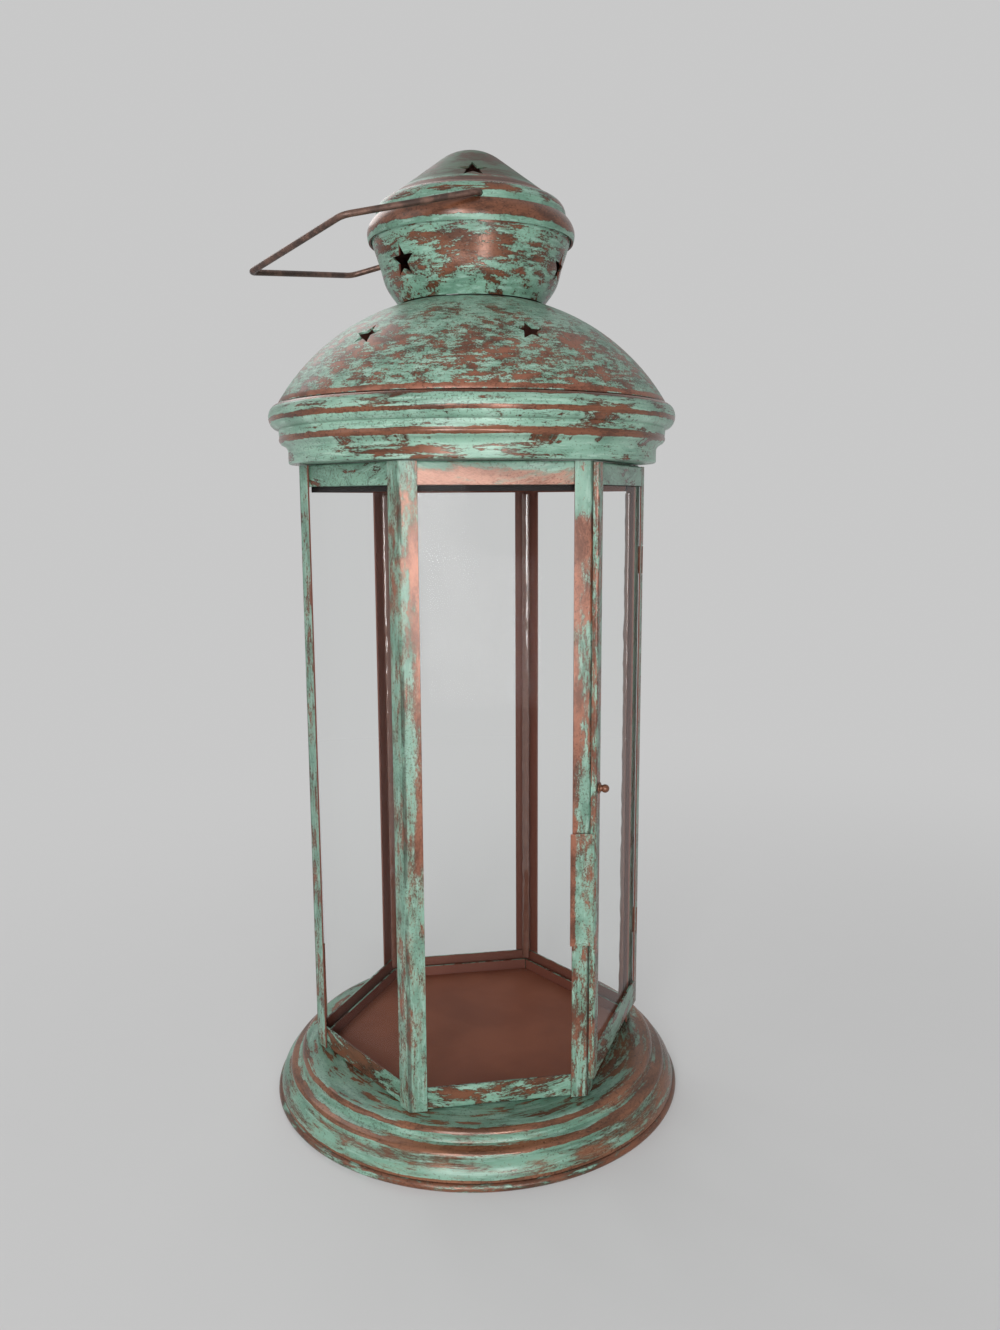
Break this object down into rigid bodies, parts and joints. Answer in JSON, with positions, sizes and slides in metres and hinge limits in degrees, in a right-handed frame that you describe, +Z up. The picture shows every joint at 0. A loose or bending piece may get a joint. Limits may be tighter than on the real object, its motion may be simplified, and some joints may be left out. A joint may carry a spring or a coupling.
{
  "type": "metal lantern",
  "caption": "Six-sided glazed metal candle lantern with a hinged side door, round stepped base and cornice, star-pierced dome, flared cowl with cap, and a loose wire bail.",
  "frame": {"origin": "centre of the candle floor's top face, on the lantern's upright axis", "axes": "+Z up; -Y out of the front pane; +X to the right of the front pane, the hinged side at the front right"},
  "size_m": [0.1798, 0.1798, 0.3982],
  "materials": {
    "patina": "turquoise patina brushed over copper paint, matt to satin",
    "copper": "worn copper paint, satin",
    "inside": "plain brown copper paint, dull",
    "wire": "dark copper-brown wire, satin",
    "glass": "clear plain sheet glass"
  },
  "bodies": {
    "frame": {"base": "patina", "sill": "patina", "lintel": "patina", "catch_spring": "patina", "cornice": "patina", "dome": "patina", "cowl": "patina", "cap": "patina", "post_front_right": "patina", "post_right": "patina", "post_back_right": "patina", "post_back_left": "patina", "post_left": "patina", "post_front_left": "patina", "rail_low_front": "patina", "rail_top_front": "patina", "pane_front": "glass", "rail_low_back_right": "patina", "rail_top_back_right": "patina", "pane_back_right": "glass", "rail_low_back": "patina", "rail_top_back": "patina", "pane_back": "glass", "rail_low_back_left": "patina", "rail_top_back_left": "patina", "pane_back_left": "glass", "rail_low_front_left": "patina", "rail_top_front_left": "patina", "pane_front_left": "glass", "base_roll": "copper", "cowl_rim": "copper", "hinge_knuckle_low": "copper", "hinge_knuckle_top": "copper", "floor_plate": "inside", "hinge_pin": "wire"},
    "door": {"door_stile_catch": "patina", "door_stile_hinge": "patina", "door_rail_low": "patina", "door_rail_top": "patina", "door_pane": "glass", "door_knob": "copper"},
    "bail": {"bail": "wire"}
  },
  "joints": [
    {"name": "door_swing", "type": "hinge", "parent": "frame", "child": "door", "pos_m": [0.07346, -0.00096, 0], "axis": [0, 0, 1], "range_deg": [0, 135]},
    {"name": "bail_swing", "type": "hinge", "parent": "frame", "child": "bail", "pos_m": [0, 0, 0.35192], "axis": [0.0593, 0.9982, 0], "range_deg": [0, 208]}
  ]
}
